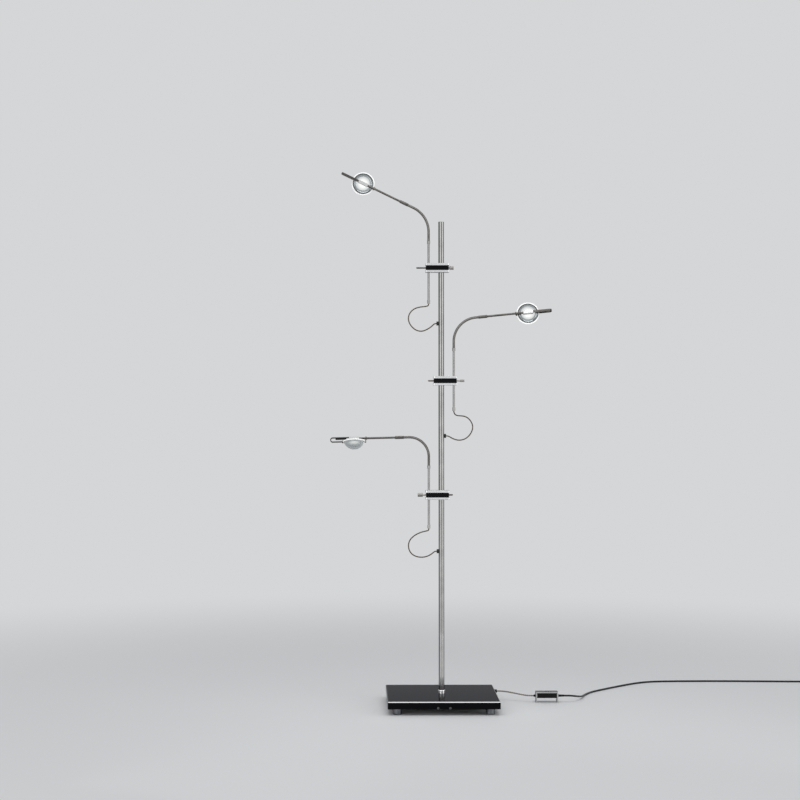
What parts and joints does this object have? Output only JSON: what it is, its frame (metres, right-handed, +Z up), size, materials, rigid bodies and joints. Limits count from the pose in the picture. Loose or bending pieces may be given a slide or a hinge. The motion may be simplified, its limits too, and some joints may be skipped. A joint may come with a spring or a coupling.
{
  "type": "projection floor lamp",
  "caption": "Floor lamp on a square base: swivelling gooseneck arms clamped to a pole, each ending in a lit glass projection lens, with an in-line driver box and mains cord.",
  "frame": {"origin": "on the floor below the pole's axis, which is the middle of the base and of the lamp's box", "axes": "+Z up along the pole, +X to the right seen from the front, +Y to the back"},
  "size_m": [1.7755, 0.7484, 1.7054],
  "materials": {
    "black_gloss": "gloss",
    "grey_metal": "satin",
    "steel": "satin",
    "nickel": "polished",
    "neck_metal": "ribbed, polished",
    "satin_black": "satin",
    "bush_plastic": "satin",
    "black_plastic": "gloss",
    "button_plastic": "gloss",
    "black_rubber": "matte",
    "black_cord": "satin",
    "cable_sheath": "clear sheath",
    "box_metal": "brushed",
    "led_metal": "satin",
    "lens_glass": "clear polished"
  },
  "bodies": {
    "stand": {"base_plate": "black_gloss", "base_feet": "grey_metal", "base_fasteners": "steel", "base_gland": "black_rubber", "pole": "nickel", "pole_cap": "nickel", "pole_collar": "nickel", "cable_grommets": "black_rubber", "supply_cord": "black_cord", "driver_shell": "box_metal", "driver_core": "black_plastic", "mains_cord": "black_cord", "mains_coil": "black_cord", "mains_plug": "black_plastic", "top_cable": "cable_sheath", "middle_cable": "cable_sheath", "lower_cable": "cable_sheath"},
    "button": {"driver_button": "button_plastic"},
    "top_carriage": {"top_pole_bush": "bush_plastic"},
    "top_clamp": {"top_clamp_core": "satin_black", "top_clamp_plates": "nickel"},
    "top_knob": {"top_thumbscrew": "nickel"},
    "top_stub": {"top_lock_screw": "nickel"},
    "top_sleeve": {"top_cable_gland": "nickel"},
    "top_arm": {"top_arm_tube": "nickel"},
    "top_link_1": {"top_neck_lower": "neck_metal"},
    "top_link_2": {"top_neck_upper": "neck_metal"},
    "top_link_3": {"top_neck_tip": "neck_metal"},
    "top_head": {"top_head_bar": "nickel", "top_head_grip": "black_plastic", "top_led_module": "led_metal", "top_lens": "lens_glass"},
    "middle_carriage": {"middle_pole_bush": "bush_plastic"},
    "middle_clamp": {"middle_clamp_core": "satin_black", "middle_clamp_plates": "nickel"},
    "middle_knob": {"middle_thumbscrew": "nickel"},
    "middle_stub": {"middle_lock_screw": "nickel"},
    "middle_sleeve": {"middle_cable_gland": "nickel"},
    "middle_arm": {"middle_arm_tube": "nickel"},
    "middle_link_1": {"middle_neck_lower": "neck_metal"},
    "middle_link_2": {"middle_neck_upper": "neck_metal"},
    "middle_link_3": {"middle_neck_tip": "neck_metal"},
    "middle_head": {"middle_head_bar": "nickel", "middle_head_grip": "black_plastic", "middle_led_module": "led_metal", "middle_lens": "lens_glass"},
    "lower_carriage": {"lower_pole_bush": "bush_plastic"},
    "lower_clamp": {"lower_clamp_core": "satin_black", "lower_clamp_plates": "nickel"},
    "lower_knob": {"lower_thumbscrew": "nickel"},
    "lower_stub": {"lower_lock_screw": "nickel"},
    "lower_sleeve": {"lower_cable_gland": "nickel"},
    "lower_arm": {"lower_arm_tube": "nickel"},
    "lower_link_1": {"lower_neck_lower": "neck_metal"},
    "lower_link_2": {"lower_neck_upper": "neck_metal"},
    "lower_link_3": {"lower_neck_tip": "neck_metal"},
    "lower_head": {"lower_head_bar": "nickel", "lower_head_grip": "black_plastic", "lower_led_module": "led_metal", "lower_lens": "lens_glass"}
  },
  "joints": [
    {"name": "driver_button_press", "type": "slide", "parent": "stand", "child": "button", "axis": [0, 0, -1], "range_m": [0, 0.0015], "stiffness_N_per_m": 800},
    {"name": "top_clamp_height", "type": "slide", "parent": "stand", "child": "top_carriage", "axis": [0, 0, 1], "range_m": [-0.04, 0.04], "deforming": ["top_cable"]},
    {"name": "top_clamp_swivel", "type": "hinge", "parent": "top_carriage", "child": "top_clamp", "pos_m": [0, 0, 1.399], "axis": [0, 0, 1], "range_deg": [-45, 45], "deforming": ["top_cable"]},
    {"name": "top_arm_height", "type": "slide", "parent": "top_clamp", "child": "top_sleeve", "axis": [0, 0, 1], "range_m": [-0.025, 0.025], "deforming": ["top_cable"]},
    {"name": "top_arm_swivel", "type": "hinge", "parent": "top_sleeve", "child": "top_arm", "pos_m": [-0.04, 0, 1.399], "axis": [0, 0, 1], "range_deg": [-90, 90]},
    {"name": "top_neck_bend_1", "type": "hinge", "parent": "top_arm", "child": "top_link_1", "pos_m": [-0.04, 0, 1.50567], "axis": [0, -1, 0], "range_deg": [-13, 13]},
    {"name": "top_neck_bend_2", "type": "hinge", "parent": "top_link_1", "child": "top_link_2", "pos_m": [-0.0497, 0, 1.55343], "axis": [0, -1, 0], "range_deg": [-13, 13]},
    {"name": "top_neck_bend_3", "type": "hinge", "parent": "top_link_2", "child": "top_link_3", "pos_m": [-0.08365, 0, 1.58826], "axis": [0, -1, 0], "range_deg": [-13, 13]},
    {"name": "top_head_roll", "type": "hinge", "parent": "top_link_3", "child": "top_head", "pos_m": [-0.13093, 0, 1.61146], "axis": [-0.8988, 0, 0.4384], "range_deg": [-90, 90]},
    {"name": "top_knob_turn", "type": "hinge", "parent": "top_clamp", "child": "top_knob", "pos_m": [0, 0, 1.399], "axis": [1, 0, 0], "range_deg": [-180, 180]},
    {"name": "top_stub_turn", "type": "hinge", "parent": "top_clamp", "child": "top_stub", "pos_m": [0, 0, 1.399], "axis": [-1, 0, 0], "range_deg": [-180, 180]},
    {"name": "middle_clamp_height", "type": "slide", "parent": "stand", "child": "middle_carriage", "axis": [0, 0, 1], "range_m": [-0.04, 0.04], "deforming": ["middle_cable"]},
    {"name": "middle_clamp_swivel", "type": "hinge", "parent": "middle_carriage", "child": "middle_clamp", "pos_m": [0, 0, 1.039], "axis": [0, 0, 1], "range_deg": [-45, 45], "deforming": ["middle_cable"]},
    {"name": "middle_arm_height", "type": "slide", "parent": "middle_clamp", "child": "middle_sleeve", "axis": [0, 0, 1], "range_m": [-0.025, 0.025], "deforming": ["middle_cable"]},
    {"name": "middle_arm_swivel", "type": "hinge", "parent": "middle_sleeve", "child": "middle_arm", "pos_m": [0.04, 0, 1.039], "axis": [0, 0, 1], "range_deg": [-90, 90]},
    {"name": "middle_neck_bend_1", "type": "hinge", "parent": "middle_arm", "child": "middle_link_1", "pos_m": [0.04, 0, 1.16367], "axis": [0, 1, 0], "range_deg": [-13, 13]},
    {"name": "middle_neck_bend_2", "type": "hinge", "parent": "middle_link_1", "child": "middle_link_2", "pos_m": [0.05507, 0, 1.20976], "axis": [0, 1, 0], "range_deg": [-13, 13]},
    {"name": "middle_neck_bend_3", "type": "hinge", "parent": "middle_link_2", "child": "middle_link_3", "pos_m": [0.09471, 0, 1.2377], "axis": [0, 1, 0], "range_deg": [-13, 13]},
    {"name": "middle_head_roll", "type": "hinge", "parent": "middle_link_3", "child": "middle_head", "pos_m": [0.14688, 0, 1.2443], "axis": [0.9952, 0, 0.0976], "range_deg": [-90, 90]},
    {"name": "middle_knob_turn", "type": "hinge", "parent": "middle_clamp", "child": "middle_knob", "pos_m": [0, 0, 1.039], "axis": [1, 0, 0], "range_deg": [-180, 180]},
    {"name": "middle_stub_turn", "type": "hinge", "parent": "middle_clamp", "child": "middle_stub", "pos_m": [0, 0, 1.039], "axis": [-1, 0, 0], "range_deg": [-180, 180]},
    {"name": "lower_clamp_height", "type": "slide", "parent": "stand", "child": "lower_carriage", "axis": [0, 0, 1], "range_m": [-0.04, 0.04], "deforming": ["lower_cable"]},
    {"name": "lower_clamp_swivel", "type": "hinge", "parent": "lower_carriage", "child": "lower_clamp", "pos_m": [0, 0, 0.675], "axis": [0, 0, 1], "range_deg": [-45, 45], "deforming": ["lower_cable"]},
    {"name": "lower_arm_height", "type": "slide", "parent": "lower_clamp", "child": "lower_sleeve", "axis": [0, 0, 1], "range_m": [-0.025, 0.025], "deforming": ["lower_cable"]},
    {"name": "lower_arm_swivel", "type": "hinge", "parent": "lower_sleeve", "child": "lower_arm", "pos_m": [-0.04, 0, 0.675], "axis": [0, 0, 1], "range_deg": [-90, 90]},
    {"name": "lower_neck_bend_1", "type": "hinge", "parent": "lower_arm", "child": "lower_link_1", "pos_m": [-0.04, 0, 0.78867], "axis": [0, -1, 0], "range_deg": [-13, 13]},
    {"name": "lower_neck_bend_2", "type": "hinge", "parent": "lower_link_1", "child": "lower_link_2", "pos_m": [-0.05307, 0, 0.83508], "axis": [0, -1, 0], "range_deg": [-13, 13]},
    {"name": "lower_neck_bend_3", "type": "hinge", "parent": "lower_link_2", "child": "lower_link_3", "pos_m": [-0.09496, 0, 0.8586], "axis": [0, -1, 0], "range_deg": [-13, 13]},
    {"name": "lower_head_roll", "type": "hinge", "parent": "lower_link_3", "child": "lower_head", "pos_m": [-0.1476, 0, 0.85798], "axis": [-0.9997, 0, -0.0227], "range_deg": [-90, 90]},
    {"name": "lower_knob_turn", "type": "hinge", "parent": "lower_clamp", "child": "lower_knob", "pos_m": [0, 0, 0.675], "axis": [-1, 0, 0], "range_deg": [-180, 180]},
    {"name": "lower_stub_turn", "type": "hinge", "parent": "lower_clamp", "child": "lower_stub", "pos_m": [0, 0, 0.675], "axis": [1, 0, 0], "range_deg": [-180, 180]}
  ],
  "couplings": [
    {"joint": "top_neck_bend_2", "follows": "top_neck_bend_1", "ratio": 1},
    {"joint": "top_neck_bend_3", "follows": "top_neck_bend_1", "ratio": 1},
    {"joint": "middle_neck_bend_2", "follows": "middle_neck_bend_1", "ratio": 1},
    {"joint": "middle_neck_bend_3", "follows": "middle_neck_bend_1", "ratio": 1},
    {"joint": "lower_neck_bend_2", "follows": "lower_neck_bend_1", "ratio": 1},
    {"joint": "lower_neck_bend_3", "follows": "lower_neck_bend_1", "ratio": 1}
  ]
}
